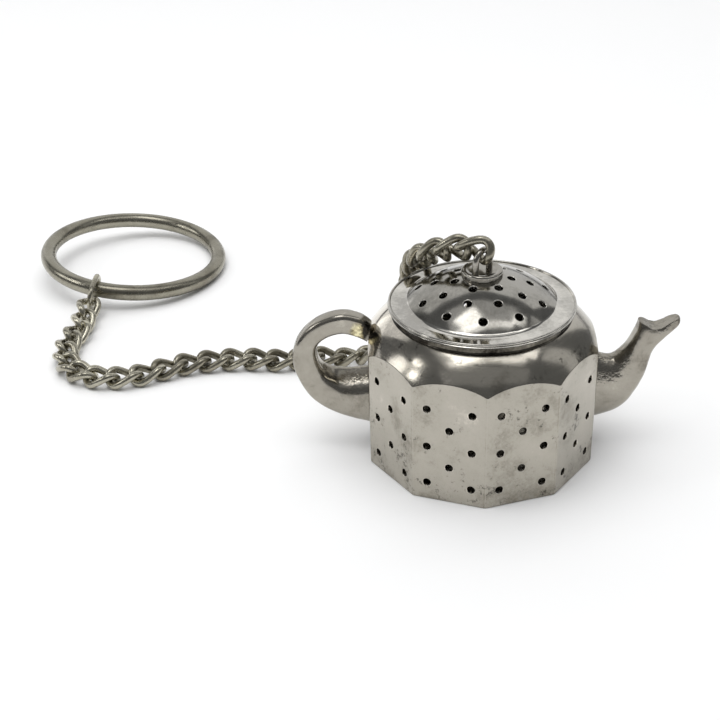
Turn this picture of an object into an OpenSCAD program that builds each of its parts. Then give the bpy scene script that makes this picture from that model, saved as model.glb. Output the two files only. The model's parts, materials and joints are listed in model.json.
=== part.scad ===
// Tea infuser in the shape of a small teapot: a ten-sided perforated pot, a domed lid that lifts off,
// a chain of twisted links hooked to the lid, and a finger ring. All sizes in millimetres.
// +Z is up and +X points to the spout. The origin is the middle of the underside,
// on the surface that the pot, the chain and the ring all rest on.

/* [Pot] */
// Number of flat sides, even so that handle and spout stand opposite each other
pot_sides = 10; // [8, 10, 12]
// Radius of the pot over its vertical edges
pot_r = 20; // [17:0.5:24]
// Thickness of the sheet metal in the pot and the lid
sheet = 0.6; // [0.4:0.05:0.8]
// Height of the points of the scallops, where the vertical edges end
wall_top = 21.1; // [18:0.1:26]
// Radius of the turned shoulder's curve
shoulder_curve = 15; // [13:0.25:17]
// Lean of the shoulder from the vertical at the points of the scallops, in degrees
shoulder_lean = 30; // [24:1:34]
// Height of the neck's rim
neck_top = 27.5; // [26.8:0.1:30]

/* [Piercing] */
// Diameter of the holes in the walls and the base
hole_d = 1.3; // [0.8:0.05:1.6]
// Height of the lowest holes
hole_low = 3.3; // [2:0.1:4]
// Height from one hole to the next in a column
hole_step = 7.1; // [5:0.1:7.4]
// Distance of the side columns from the middle of a face
hole_side = 3.75; // [2.5:0.05:4]
// Diameter of the holes in the dome
dome_hole_d = 1.4; // [1:0.05:1.8]

/* [Lid] */
// Outer radius of the skirt that goes into the neck, which the neck, the dome and the flange follow
skirt_r = 13.1; // [12:0.05:13.6]
// How far the flange stands out over the neck
flange_over = 0.8; // [0.6:0.05:1.2]
// Step from the skirt's outside in to the foot of the dome
dome_step = 0.3; // [0.2:0.05:0.4]
// Height of the dome above the flange
dome_h = 5; // [3.5:0.1:6.5]
// Radius of the rolled bead along the edge of the flange
bead_r = 0.42; // [0.35:0.01:0.6]
// Depth of the skirt below the flange
skirt_h = 3.6; // [3:0.1:5]
// Width of the two lugs on the skirt
lug_w = 3; // [2:0.1:4]
// Height of a lug, and of the collar's lip above it
lug_h = 0.6; // [0.4:0.05:0.8]
// Reach of a lug beyond the skirt
lug_reach = 0.5; // [0.3:0.05:0.6]
// Wall of the neck's collar beside the lugs
collar_wall = 0.45; // [0.3:0.05:0.6]

/* [Knob and eye] */
// Radius of the round knob
knob_r = 3.45; // [3:0.05:4]
// Height of the knob above the top of the dome
knob_h = 0.9; // [0.8:0.05:1.2]
// Radius of the rounding round the knob's edge
knob_round = 0.4; // [0.3:0.05:0.5]
// Wire diameter of the eye
eye_wire = 1.1; // [0.9:0.05:1.2]
// Distance of the eye's legs from its middle, to the centre of the wire
eye_half = 1.9; // [1.8:0.05:2]
// Height of the eye's top above the knob, to the outside of the wire
eye_h = 3.8; // [3.7:0.1:5]

/* [Handle and spout] */
// Height of the handle's underside where it is soldered to the wall
handle_low = 4.9; // [4:0.1:6]
// Width of the handle where it is soldered to the wall
handle_w = 5.6; // [4:0.1:7]
// How far the handle stands out from the wall
handle_out = 13; // [11:0.1:16]
// Height of the spout's underside where it is soldered to the wall
spout_low = 5.6; // [4.5:0.1:7]
// Width of the spout where it is soldered to the wall
spout_w = 6.6; // [5:0.1:8]
// How far the spout stands out from the wall
spout_out = 14; // [12:0.1:17]

/* [Chain] */
// Distance from one link to the next
link_pitch = 4.54; // [4.4:0.02:5]
// Wire diameter of the links
link_wire = 1.45; // [1.3:0.05:1.5]
// Outer width of a link
link_w = 5.3; // [5.1:0.1:5.6]
// Turn of a link from end to end, in degrees, negative for a chain laid the other way
link_twist = -106; // [-110:1:-100]
// Direction in which the chain leaves the lid, in degrees from +X
chain_az = 141; // [136:1:146]
// Angle at which the first link drops from the eye, in degrees
first_drop = 8; // [6:1:12]

/* [Ring] */
// Wire diameter of the finger ring
ring_wire = 3.4; // [3:0.1:3.6]
// Radius of the ring to the centre of its wire
ring_r = 19.2; // [16:0.2:24]
// Direction from the chain's end to the middle of the ring, in degrees from +X
ring_az = 75; // [65:1:85]
// Wire diameter of the wide link that holds the ring
end_wire = 1.15; // [1:0.05:1.3]
// Outer width of that link
end_w = 6.3; // [6.2:0.1:6.8]
// Outer length of that link
end_len = 9; // [8.8:0.1:10]
// Roll of that link about its length, in degrees
end_roll = 88; // [84:1:92]

/* [Clearances] */
// Gap between soldered pieces
solder_gap = 0.05; // [0.02:0.01:0.1]
// Gap between the lid and the neck that it rests on
seat_gap = 0.05; // [0.02:0.01:0.1]
// Gap round the lid's skirt and lugs
lid_gap = 0.2; // [0.12:0.01:0.25]
// Gap between one link and the next
link_gap = 0.3; // [0.25:0.01:0.35]
// Gap between the lying links and the table
table_gap = 0.05; // [0.02:0.01:0.1]
// Gap between the ring and the end of the wide link
ring_gap = 0.45; // [0.4:0.05:0.6]
// Gap between the chain and the pot or the lid that it hangs over
drape_gap = 0.45; // [0.3:0.05:1]

/* [Hidden] */
$fn = 64;
chain_links = 31;
link_rings = 18;
wire_sides = 8;
loft_sides = 16;
// Corner power of the handle's sections and of the spout's mouth
corner = 0.55;
route_steps = 8;

flat_r = pot_r * cos(180 / pot_sides);
shoulder_c = [pot_r - shoulder_curve * cos(shoulder_lean), wall_top - shoulder_curve * sin(shoulder_lean)];
past = 2;

lip_r = skirt_r + lid_gap;
collar_in = skirt_r + lug_reach + lid_gap;
collar_r = collar_in + collar_wall;
neck_r = collar_r + solder_gap + sheet;

flange_r = neck_r + flange_over;
flange_low = neck_top + seat_gap;
flange_top = flange_low + sheet;
dome_r = skirt_r - dome_step;
dome_curve = (dome_r * dome_r + dome_h * dome_h) / (2 * dome_h);
dome_top = flange_top + dome_h;
dome_c = dome_top - dome_curve;
// Rings of holes in the dome: number of holes, radius of the ring, first angle
dome_rings = [[7, 0.375 * dome_r, -111], [10, 0.617 * dome_r, -110], [11, 0.836 * dome_r, -92]];
// Rings of holes in the base: number of holes, radius of the ring
base_rings = [[6, 5], [12, 11]];

lug_low = flange_low - skirt_h;
lip_low = lug_low + lug_h + lid_gap;

knob_top = dome_top + knob_h;
eye_top = knob_top + eye_h - eye_wire / 2;
eye_bend = eye_top - eye_half;
// The eye stands square to the way in which the chain leaves it
eye_turn = chain_az + 90;
eye_foot = dome_c + sqrt(pow(dome_curve - sheet, 2) - eye_half * eye_half) - sheet;
eye_hole = eye_wire + 2 * solder_gap;

// Vector and curve helpers

function unit(v) = v / norm(v);

function curve_at(a, b, c, d, t) =
    (2 * b + (c - a) * t + (2 * a - 5 * b + 4 * c - d) * t * t + (3 * b - a - 3 * c + d) * t * t * t) / 2;

// Smooth curve through a list of points
function smooth(p, steps) = concat(
    [for (i = [0 : len(p) - 2]) for (k = [0 : steps - 1])
        curve_at(p[max(i - 1, 0)], p[i], p[i + 1], p[min(i + 2, len(p) - 1)], k / steps)],
    [p[len(p) - 1]]);

// Triangles of a skin over rings of points, with m points in each of n rings
function band(n, m, closed) = [for (i = [0 : n - (closed ? 1 : 2)]) for (j = [0 : m - 1])
    let (a = i * m + j, b = i * m + (j + 1) % m, c = ((i + 1) % n) * m + j, d = ((i + 1) % n) * m + (j + 1) % m)
    each [[a, b, d], [a, d, c]]];

function fan(m, first, flip) = [for (j = [1 : m - 2])
    flip ? [first, first + j + 1, first + j] : [first, first + j, first + j + 1]];

// Takes a cosine or a sine: the oval drawn with it has fuller corners the further the power is below 1
function fuller(v, power) = sign(v) * pow(abs(v), power);

// Solid between two rails in the XZ plane. Each station is
// [upper x, upper z, lower x, lower z, width, corner power, rise of the lower rail's side towards +Y]
module rail_loft(stations, steps) {
    line = smooth(stations, steps);
    rings = [for (s = line) for (j = [0 : loft_sides - 1])
        let (w = 360 * j / loft_sides, mid = [s[0] + s[2], s[1] + s[3]] / 2,
            arm = [s[0] - s[2], s[1] - s[3]] / 2, up = fuller(cos(w), s[5]), y = s[4] / 2 * fuller(sin(w), s[5]))
        [mid.x + arm.x * up, y, mid.y + arm.y * up + s[6] * y * (1 - up) / 2]];
    n = len(line);
    polyhedron(points = rings, faces = concat(band(n, loft_sides, false),
        fan(loft_sides, 0, true), fan(loft_sides, (n - 1) * loft_sides, false)));
}

// Pot

module pot_form(inset) {
    intersection() {
        rotate([0, 0, 180 / pot_sides])
            cylinder(r = (flat_r - inset) / cos(180 / pot_sides), h = neck_top, $fn = pot_sides);
        rotate_extrude() {
            square([pot_r + past, wall_top - 1]);
            intersection() {
                translate(shoulder_c) circle(r = shoulder_curve - inset);
                square([pot_r + past, neck_top]);
            }
            square([neck_r - inset, neck_top]);
        }
    }
}

module face_holes() {
    for (side = [-1, 1], row = [0 : 2])
        translate([flat_r, side * hole_side, hole_low + row * hole_step]) rotate([0, 90, 0])
            cylinder(d = hole_d, h = 4 * sheet, center = true);
    for (row = [0.5, 1.5])
        translate([flat_r, 0, hole_low + row * hole_step]) rotate([0, 90, 0])
            cylinder(d = hole_d, h = 4 * sheet, center = true);
}

module body_shell() {
    color("gainsboro") difference() {
        pot_form(0);
        translate([0, 0, -past]) linear_extrude(height = past + wall_top / 2)
            rotate(180 / pot_sides) circle(r = (flat_r - sheet) / cos(180 / pot_sides), $fn = pot_sides);
        pot_form(sheet);
        translate([0, 0, neck_top - sheet]) cylinder(r = neck_r - sheet, h = past);
        for (k = [1 : pot_sides - 1])
            if (k != pot_sides / 2) rotate([0, 0, 360 / pot_sides * k]) face_holes();
    }
}

module base_plate() {
    color("gainsboro") difference() {
        rotate([0, 0, 180 / pot_sides])
            cylinder(r = (flat_r - sheet) / cos(180 / pot_sides), h = sheet, $fn = pot_sides);
        for (ring = base_rings, k = [0 : ring[0] - 1]) rotate([0, 0, 360 / ring[0] * k])
            translate([ring[1], 0, -past]) cylinder(d = hole_d, h = 2 * past + sheet);
    }
}

// Collar soldered inside the neck. Its lip has a notch for each lug on the lid's skirt
module neck_collar() {
    color("silver") difference() {
        translate([0, 0, lip_low]) cylinder(r = collar_r, h = neck_top - lip_low);
        translate([0, 0, lip_low - past]) cylinder(r = lip_r, h = neck_top);
        translate([0, 0, lip_low + lug_h]) cylinder(r = collar_in, h = neck_top);
        for (side = [-1, 1]) translate([0, side * collar_in / 2, lip_low])
            cube([lug_w + 2 * lid_gap, collar_in, 2 * past], center = true);
    }
}

// Handle and spout

// Stations run from the free end at the shoulder round to the root on the wall
handle_end = handle_out + flat_r;
handle_stations = [
    [-flat_r + 0.67, wall_top + 3.05, -flat_r - 0.28, wall_top - 0.2, 0.57 * handle_w, corner, 0],
    [-flat_r - 1.4, wall_top + 4.65, -flat_r - 1.9, wall_top + 0.75, 0.61 * handle_w, corner, 0],
    [-flat_r - 5, wall_top + 5.25, -flat_r - 4.6, wall_top + 1.4, 0.64 * handle_w, corner, 0],
    [-handle_end + 3.5, wall_top + 3.4, -handle_end + 5.6, wall_top + 0.5, 0.68 * handle_w, corner, 0],
    [-handle_end + 0.4, wall_top - 0.5, -handle_end + 4.2, wall_top - 1.3, 0.71 * handle_w, corner, 0],
    [-handle_end, wall_top - 5.1, -handle_end + 4.4, wall_top - 3.9, 0.77 * handle_w, corner, 0],
    [-handle_end + 2.5, handle_low + 5.7, -handle_end + 5.8, handle_low + 10.2, 0.86 * handle_w, corner, 0.25],
    [-flat_r - 6.2, handle_low + 2.4, -flat_r - 4.2, handle_low + 9, 0.95 * handle_w, corner, 0.5],
    [-flat_r, handle_low + 0.25, -flat_r, handle_low + 9.4, handle_w, corner, 0.5]];

module handle() {
    color("gainsboro") rail_loft(handle_stations, 3);
}

// Stations run from the root on the wall to the mouth
spout_end = flat_r + spout_out;
mouth_z = wall_top + 3.8;
spout_stations = [
    [flat_r, spout_low + 12.7, flat_r, spout_low - 0.3, spout_w, 1, 0],
    [flat_r + 3, spout_low + 11.8, flat_r + 5.4, spout_low + 2.2, 0.91 * spout_w, 0.9, 0],
    [flat_r + 5.3, wall_top - 1.9, spout_end - 5.5, spout_low + 7.6, 0.76 * spout_w, 0.75, 0],
    [flat_r + 6.6, wall_top + 0.5, spout_end - 4.2, wall_top - 2.4, 0.64 * spout_w, 0.6, 0],
    [flat_r + 7.15, wall_top + 2.1, spout_end - 2.3, wall_top + 0.2, 0.55 * spout_w, corner, 0],
    [flat_r + 7.3, mouth_z - 0.6, spout_end - 0.2, mouth_z - 1.5, 0.42 * spout_w, corner, 0],
    [flat_r + 7.3, mouth_z, spout_end, mouth_z - 0.2, 0.36 * spout_w, corner, 0]];
// The saddle in the mouth, between its back and the beak
saddle_depth = 0.9;
saddle_r = 3;
saddle_x = spout_end - 4;

module spout() {
    color("gainsboro") difference() {
        rail_loft(spout_stations, 4);
        translate([saddle_x, 0, mouth_z - saddle_depth + saddle_r]) rotate([90, 0, 0])
            cylinder(r = saddle_r, h = spout_w, center = true);
    }
}

// Lid

module dome_2d(inset) {
    intersection() {
        translate([0, dome_c]) circle(r = dome_curve - inset, $fn = 128);
        translate([0, flange_low]) square([dome_r + past, dome_h + past]);
    }
}

module lid_cap() {
    color("gainsboro") difference() {
        rotate_extrude() {
            difference() {
                union() {
                    dome_2d(0);
                    translate([0, flange_low]) square([flange_r - bead_r, sheet]);
                    translate([flange_r - bead_r, flange_low + bead_r]) circle(r = bead_r);
                }
                dome_2d(sheet);
            }
        }
        for (ring = dome_rings, k = [0 : ring[0] - 1]) translate([0, 0, dome_c])
            rotate([0, asin(ring[1] / dome_curve), ring[2] + 360 / ring[0] * k])
                translate([0, 0, dome_curve - 2 * sheet]) cylinder(d = dome_hole_d, h = 4 * sheet);
        rotate([0, 0, eye_turn]) eye_legs(eye_hole, flange_top, knob_top);
    }
}

module lid_skirt() {
    color("silver") {
        difference() {
            translate([0, 0, lug_low]) cylinder(r = skirt_r, h = skirt_h);
            translate([0, 0, lug_low - past]) cylinder(r = skirt_r - sheet, h = skirt_h + 2 * past);
        }
        intersection() {
            difference() {
                translate([0, 0, lug_low]) cylinder(r = skirt_r + lug_reach, h = lug_h);
                translate([0, 0, lug_low - past]) cylinder(r = skirt_r - sheet / 2, h = lug_h + 2 * past);
            }
            translate([0, 0, lug_low + lug_h / 2]) cube([lug_w, 4 * skirt_r, lug_h], center = true);
        }
    }
}

module eye_legs(d, low, high) {
    for (side = [-1, 1]) translate([side * eye_half, 0, high]) rotate([180, 0, 0])
        cylinder(d = d, h = high - low);
}

module lid_knob() {
    dish_r = knob_r - 2 * knob_round;
    color("silver") difference() {
        rotate_extrude() {
            square([knob_r - knob_round, knob_top]);
            translate([knob_r - knob_round, knob_top - knob_round]) circle(r = knob_round);
            square([knob_r, knob_top - knob_round]);
        }
        translate([0, 0, dome_c]) sphere(r = dome_curve + solder_gap, $fn = 128);
        cylinder(r = pot_r, h = dome_c);
        translate([0, 0, knob_top - knob_round / 2]) cylinder(r = dish_r, h = knob_h);
        rotate([0, 0, eye_turn]) eye_legs(eye_hole, dome_c, knob_top + past);
    }
}

// Loop of wire that stands on the knob, square to the chain's direction
module lid_eye() {
    color("silver") rotate([0, 0, eye_turn]) {
        eye_legs(eye_wire, eye_foot, eye_bend);
        translate([0, 0, eye_bend]) rotate([90, 0, 0])
            rotate_extrude(angle = 180) translate([eye_half, 0]) circle(d = eye_wire);
    }
}

// Chain

// Point at distance s along the centre line of a link that lies along X, turned by twist from end to end
function link_point(half_len, half_w, twist, s) =
    let (run = half_len - half_w, arc = PI * half_w,
        near = 180 * (s - 2 * run) / arc - 90,
        far = 180 * (s - 4 * run - arc) / arc + 90,
        flat = s < 2 * run ? [s - run, -half_w]
            : s < 2 * run + arc ? [run + half_w * cos(near), half_w * sin(near)]
            : s < 4 * run + arc ? [run - (s - 2 * run - arc), half_w]
            : [-run + half_w * cos(far), half_w * sin(far)],
        turn = twist / 2 * flat.x / half_len)
    [flat.x, flat.y * cos(turn), flat.y * sin(turn)];

function link_length(half_len, half_w) = 4 * (half_len - half_w) + 2 * PI * half_w;

function link_line(half_len, half_w, twist) = [for (i = [0 : link_rings - 1])
    link_point(half_len, half_w, twist, (i + 0.5) / link_rings * link_length(half_len, half_w))];

// Points of the wire round a link's centre line
function link_skin(line, half_len, twist, wire) = [for (i = [0 : link_rings - 1])
    let (p = line[i], turn = twist / 2 * p.x / half_len,
        along = unit(line[(i + 1) % link_rings] - line[(i + link_rings - 1) % link_rings]),
        face = [0, -sin(turn), cos(turn)],
        up = unit(face - (face * along) * along), out = cross(along, up))
    for (j = [0 : wire_sides - 1])
        p + wire / 2 * (cos(360 * (j + 0.5) / wire_sides) * up + sin(360 * (j + 0.5) / wire_sides) * out)];

link_half_len = (link_pitch + link_wire + link_gap) / 2;
link_half_w = (link_w - link_wire) / 2;
chain_line = link_line(link_half_len, link_half_w, link_twist);
chain_skin = link_skin(chain_line, link_half_len, link_twist, link_wire);
// Half the thickness of a link that lies flat, and of one that is rolled by half its twist
lie = link_wire / 2 + max([for (k = [0 : 72])
    link_point(link_half_len, link_half_w, link_twist, k / 72 * link_length(link_half_len, link_half_w)).z]);
rolled = link_w / 2;

// Direction of the first link, and the point where it bears on the eye
first_way = [cos(chain_az) * cos(first_drop), sin(chain_az) * cos(first_drop), -sin(first_drop)];
hook = [0, 0, eye_top] - first_way * (eye_wire + link_gap) / 2;
first_end = hook + first_way * link_pitch;

function round_pot(r, az, z) = [r * cos(az), r * sin(az), z];
function dome_z(r) = dome_c + sqrt(dome_curve * dome_curve - r * r);

// The chain's way over the lid and down behind the pot, then along the table to the ring
over_lid = [
    round_pot(knob_r + 3, chain_az + 2, dome_z(knob_r + 3) + rolled + 3.1 * drape_gap),
    round_pot(flange_r - 4.6, chain_az - 1, dome_z(flange_r - 4.6) + rolled + 3.2 * drape_gap),
    round_pot(flange_r - 0.7, chain_az - 8, flange_top + rolled + drape_gap / 2),
    round_pot(flange_r + 2, chain_az - 13, flange_top + lie - 1.3)];
down_wall = [
    round_pot(pot_r + 1.1, chain_az - 18.2, wall_top + 2.5),
    round_pot(pot_r + 3, chain_az - 20.8, wall_top - 2.6),
    round_pot(pot_r + 3.4, chain_az - 21.4, 13.4),
    round_pot(pot_r + 6.8, chain_az - 18.6, 7.7),
    round_pot(pot_r + 10.8, chain_az - 14.9, 4.3),
    round_pot(pot_r + 13.3, chain_az - 12.3, lie + 1.3)];
on_table = [[-25.5, 26.9], [-29.7, 27.5], [-36.8, 26.3], [-46, 27.1], [-54.6, 25.8], [-59.2, 24.1],
    [-65.4, 20.8], [-71.5, 20.2], [-76.3, 21.7], [-79.9, 25.3]];
// Before the wide link the chain rises, so that this link clears the table
to_ring = [[-81.6, 29.8, lie + 0.2], [-81.6, 35, lie + 0.4], [-80.9, 38.6, lie + 0.5], [-80.5, 41.8, lie + 0.7],
    [-81, 45.6, lie + 1.18], [-80.6, 49.4, lie + 1.68]];
along_table = [for (p = on_table) [p.x, p.y, lie]];
draped = smooth(concat([first_end], over_lid, down_wall, along_table, to_ring), route_steps);
way = [for (p = draped) [p.x, p.y, max(p.z, lie + table_gap)]];

function first_beyond(i, from, step) =
    i >= len(way) - 1 || norm(way[i] - from) >= step ? i : first_beyond(i + 1, from, step);

// Point between a and b at distance r from c
function at_reach(a, b, c, r) =
    let (d = b - a, e = a - c, half = (d * e) / (d * d), rest = (e * e - r * r) / (d * d))
    a + d * (sqrt(half * half - rest) - half);

function walk(i, from, count) = count == 0 ? [] :
    let (j = first_beyond(i, from, link_pitch), next = at_reach(way[j - 1], way[j], from, link_pitch))
    concat([next], walk(j, next, count - 1));

// Points where one link bears on the next, from the eye to the wide end link
bearings = concat([hook, first_end], walk(1, first_end, chain_links - 1));

// The first link stands on edge in the eye and the next ones roll flat by equal steps.
// The last links roll again, so that the wide link stands on edge
first_roll = 59.5;
flat_after = 6;
last_roll = 31.5;
rolled_links = 3;
function roll_of(i) = first_roll * max(0, 1 - i / flat_after)
    + last_roll * max(0, 1 - (chain_links - 1 - i) / rolled_links);

// Frame of a link: forward, left and away from what it lies on, rolled about the forward direction
function link_frame(from, to, roll) =
    let (t = unit(to - from), mid = from + to, outward = unit([mid.x, mid.y, 0]),
        away = [0, 0, sqrt(1 - t.z * t.z)] - outward * t.z,
        n = unit(away - (away * t) * t), h = cross(n, t))
    [t, h * cos(roll) + n * sin(roll), n * cos(roll) - h * sin(roll)];

function placed(p, centre, f) = centre + f[0] * p.x + f[1] * p.y + f[2] * p.z;

module chain_link(i) {
    f = link_frame(bearings[i], bearings[i + 1], roll_of(i));
    centre = (bearings[i] + bearings[i + 1]) / 2;
    color("darkkhaki") polyhedron(points = [for (p = chain_skin) placed(p, centre, f)],
        faces = band(link_rings, wire_sides, true));
}

// Wide end link and finger ring

end_half_len = (end_len - end_wire) / 2;
end_half_w = (end_w - end_wire) / 2;
chain_end = bearings[chain_links];
end_rise = 15;
end_az = 86;
end_way = [cos(end_az) * cos(end_rise), sin(end_az) * cos(end_rise), sin(end_rise)];
end_frame = link_frame(chain_end, chain_end + end_way, end_roll);
end_centre = chain_end + end_way * (end_half_len - (end_wire + link_gap) / 2);
ring_hook = end_centre + end_way * (end_half_len - (end_wire + ring_wire) / 2 - ring_gap);
// The ring leans on the wide link and is lowest towards this direction, in degrees from +X
ring_low_az = 0;
hook_az = ring_az + 180 - ring_low_az;
ring_tilt = asin((ring_hook.z - ring_wire / 2) / (ring_r * (1 - cos(hook_az))));

module end_link() {
    line = link_line(end_half_len, end_half_w, 0);
    skin = link_skin(line, end_half_len, 0, end_wire);
    color("darkkhaki") polyhedron(points = [for (p = skin) placed(p, end_centre, end_frame)],
        faces = band(link_rings, wire_sides, true));
}

module finger_ring() {
    color("silver") translate(ring_hook) rotate([0, ring_tilt, ring_low_az])
        translate(-ring_r * [cos(hook_az), sin(hook_az), 0])
            rotate_extrude($fn = 128) translate([ring_r, 0]) circle(d = ring_wire);
}

function link_name(i) = str("chain_link_", i < 9 ? "0" : "", i + 1);

body_shell();
base_plate();
neck_collar();
handle();
spout();
lid_cap();
lid_skirt();
lid_knob();
lid_eye();
for (i = [0 : chain_links - 1]) chain_link(i);
end_link();
finger_ring();
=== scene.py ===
"""Looks of the tea infuser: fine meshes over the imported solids, worn metals, floor, soft light and camera.

Shapes are worked out in millimetres and made in metres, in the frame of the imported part.
"""

import json
import math

import bpy
from mathutils import Matrix, Vector, noise
from mathutils.geometry import delaunay_2d_cdt


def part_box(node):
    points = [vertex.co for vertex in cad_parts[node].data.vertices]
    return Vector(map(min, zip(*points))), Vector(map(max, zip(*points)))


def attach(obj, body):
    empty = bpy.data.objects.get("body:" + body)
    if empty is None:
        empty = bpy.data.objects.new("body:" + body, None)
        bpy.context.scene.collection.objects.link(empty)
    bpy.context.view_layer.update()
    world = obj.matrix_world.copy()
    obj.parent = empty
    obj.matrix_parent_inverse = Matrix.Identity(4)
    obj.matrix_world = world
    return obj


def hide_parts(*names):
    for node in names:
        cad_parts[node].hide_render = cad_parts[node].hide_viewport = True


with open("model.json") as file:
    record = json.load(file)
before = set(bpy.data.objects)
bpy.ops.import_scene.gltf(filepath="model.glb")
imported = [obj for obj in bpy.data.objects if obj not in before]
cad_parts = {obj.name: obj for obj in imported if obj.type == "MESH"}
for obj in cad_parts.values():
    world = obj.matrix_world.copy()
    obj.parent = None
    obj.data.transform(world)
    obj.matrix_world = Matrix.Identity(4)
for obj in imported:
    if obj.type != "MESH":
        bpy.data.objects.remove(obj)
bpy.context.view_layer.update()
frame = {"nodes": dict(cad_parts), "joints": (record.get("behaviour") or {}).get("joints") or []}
joints = {joint["name"]: joint for joint in frame["joints"]}
scene = bpy.context.scene
MM = 0.001

# Camera, worked out from the holes, the base and the rim of the lid in the photograph
camera = bpy.data.objects.new("camera", bpy.data.cameras.new("camera"))
scene.collection.objects.link(camera)
camera.data.lens = 60.65
camera.data.sensor_width = 36
camera.data.clip_start = 0.01
right = (0.99903115, 0.03226859, -0.02992475)
up = (0.00975695, 0.50064874, 0.86559554)
back = (0.04291333, -0.86504889, 0.49984884)
place = (-0.011673, -0.180398, 0.121132)
camera.matrix_world = Matrix([[right[i], up[i], back[i], place[i]] for i in range(3)] + [[0, 0, 0, 1]])
scene.camera = camera

# Sizes in millimetres, as in the part's source
SIDES = 10
POT_R = 20.0
SHEET = 0.6
WALL_TOP = 21.1
SHOULDER = 15.0
SHOULDER_LEAN = math.radians(30)
NECK_R = 14.9
NECK_TOP = 27.5
FLAT_R = POT_R * math.cos(math.pi / SIDES)
SHOULDER_R = POT_R - SHOULDER * math.cos(SHOULDER_LEAN)
SHOULDER_Z = WALL_TOP - SHOULDER * math.sin(SHOULDER_LEAN)
HOLE_R = 0.65
HOLE_LOW = 3.3
HOLE_STEP = 7.1
HOLE_SIDE = 3.75
DOME_HOLE_R = 0.7
DOME_R = 12.8
FLANGE_LOW = 27.55
FLANGE_TOP = 28.15
# Rolls of the bead: radius and height of the centre, size, first and last angle, how late the normals turn
UPPER_ROLL = (15.40, 28.17, 0.22, 185, -46, 1)
LOWER_ROLL = (15.46, 27.79, 0.24, 67, -90, 2.5)
DOME_TOP = 33.15
DOME_RISE = 5.0
DOME_CURVE = (DOME_R ** 2 + DOME_RISE ** 2) / (2 * DOME_RISE)
DOME_C = DOME_TOP - DOME_CURVE
# Rings of holes in the dome: number, radius, angle of the first
DOME_RINGS = ((7, 4.8, -111), (10, 7.898, -110), (11, 10.7, -92))
KNOB_R = 3.45
KNOB_TOP = 34.05
KNOB_ROUND = 0.4
DISH_DEPTH = 0.2
DISH_EDGE = 0.85
EYE_WIRE = 1.1
EYE_HALF = 1.9
EYE_BEND = 35.4
EYE_FOOT = 31.85
CHAIN_AZ = math.radians(141)
CHAIN_LINKS = 31
LINK_PITCH = 4.54
LINK_WIRE = 1.45
LINK_W = 5.3
LINK_TWIST = math.radians(-106)
LINK_GAP = 0.3
# Roll of the first and the last link, in degrees, and the number of links over which it fades
FIRST_ROLL, FIRST_FADE = 59.5, 6
LAST_ROLL, LAST_FADE = 31.5, 3
END_WIRE = 1.15
END_W = 6.3
END_LEN = 9.0
END_ROLL = math.radians(88)
RING_WIRE = 3.4
RING_R = 19.2
RING_AZ = math.radians(255)
HANDLE_LOW = 4.9
HANDLE_W = 5.6
HANDLE_END = FLAT_R + 13
SPOUT_LOW = 5.6
SPOUT_W = 6.6
SPOUT_END = FLAT_R + 14
MOUTH_Z = WALL_TOP + 3.8
SADDLE_X = SPOUT_END - 4

# How fine the meshes are
TURN_SIDES = 180
FACE_STEPS = 20
CORNER_STEPS = 6
HOLE_STEPS = 28
LIP_STEPS = 4
SHOULDER_STEPS = 12
FILLET_STEPS = 8
ROLL_STEPS = 14
KNOB_SIDES = 96
KNOB_STEPS = 10
DISH_STEPS = 12
LEG_STEPS = 6
LOOP_STEPS = 32
LOOP_SIDES = 24
CAST_SIDES = 64
HANDLE_STEPS = 9
SPOUT_STEPS = 12
MOUTH_STEPS = 8
LINK_STEPS = 56
LINK_SIDES = 16
RING_STEPS = 160
RING_SIDES = 32
# Inner points of the dome's sheet: gap between rings, gap along a ring, gap to a hole, fewest on a ring
SEED_RING, SEED_STEP, SEED_CLEAR, SEED_LEAST = 0.55, 0.6, 0.3, 8
# Faces smaller than this are left out, and so are those within this share of a hole's radius
NO_AREA = 1e-7
HOLE_SHARE = 0.88

# Wear and painted shading of the points: above 0 brighter, below 0 darker; the neck and the bead's underside
# are painted shade
EDGE_WEAR = (0.0, -0.25, -0.1, 0.2, 0.15, -0.1, 0.0)
LIP_WEAR = 0.7
# Painted shade: the neck under the lid's flange is darkened
NECK_SHADE = -1.5
DOME_WEAR = -0.35
FLANGE_WEAR = 0.8
ROLL_WEAR = 0.6
# Painted shade: the underside of the lid's bead is darkened
UNDER_ROLL_SHADE = -1.2
SEAM_WEAR = -0.9
MOUTH_WEAR = -0.3
TABLE_LINKS, TABLE_WEAR = 12, -0.15
LAST_LINKS, LAST_WEAR = 20, 0.35
END_WEAR = 0.2

# Dents of the sheet: how far they turn the normals, and their size. Vector noise needs a seed to come out the
# same in every run
DENT_SEED = 2
SHOULDER_DENT = (0.05, 5.0)
DOME_DENT = (0.035, 4.5)
noise.seed_set(DENT_SEED)


def circle(r, steps=HOLE_STEPS):
    return [(r * math.cos(math.tau * i / steps), r * math.sin(math.tau * i / steps)) for i in range(steps)]


def dented(normal, spot, depth, size):
    """Normal turned a little aside, as on thin sheet metal with shallow dents of about the given size."""
    return Vector(normal).normalized() + depth * noise.noise_vector(Vector(spot) / size)


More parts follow.
